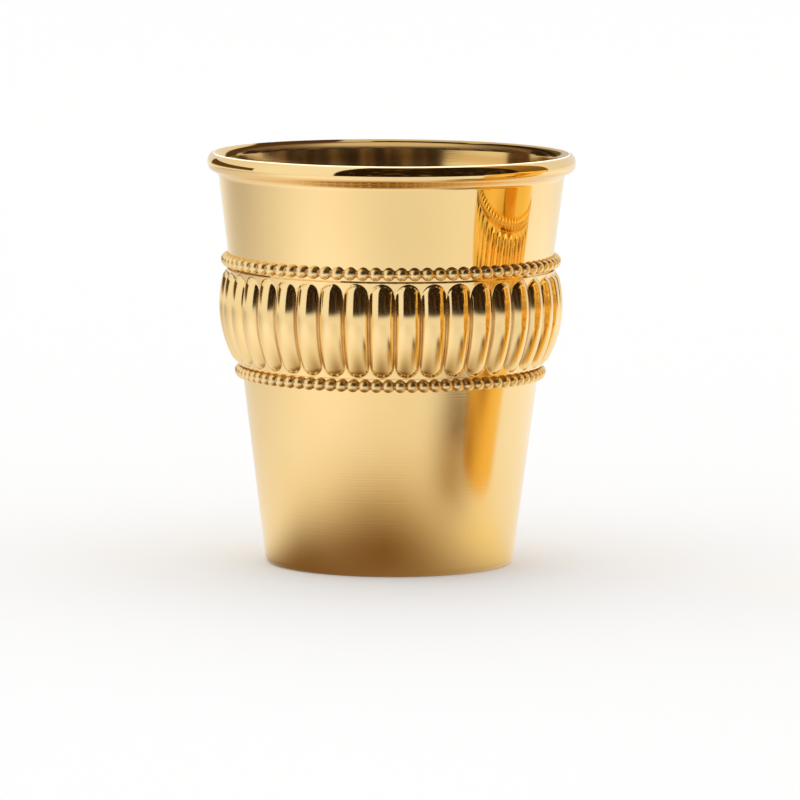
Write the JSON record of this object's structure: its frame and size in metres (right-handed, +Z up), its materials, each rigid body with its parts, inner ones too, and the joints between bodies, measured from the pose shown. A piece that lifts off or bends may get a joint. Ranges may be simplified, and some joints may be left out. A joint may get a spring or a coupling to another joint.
{
  "type": "bar jigger",
  "caption": "Tapered gold-plated measuring cup with a moulded lip and a gadroon belt edged above and below by beaded wires.",
  "frame": {"origin": "centre of the resting face, on the cup's axis", "axes": "+Z up the cup's axis to the mouth, -Y to the front"},
  "size_m": [0.0478, 0.0478, 0.0534],
  "materials": {
    "cup_plate": "gold plate, mirror above the belt and fine satin below it",
    "belt_plate": "polished gold plate, darker in the grooves",
    "bead_plate": "polished gold plate, darker between the beads"
  },
  "bodies": {
    "root": {"cup_body": "cup_plate", "gadroon_belt": "belt_plate", "upper_beaded_wire": "bead_plate", "lower_beaded_wire": "bead_plate"}
  },
  "joints": []
}
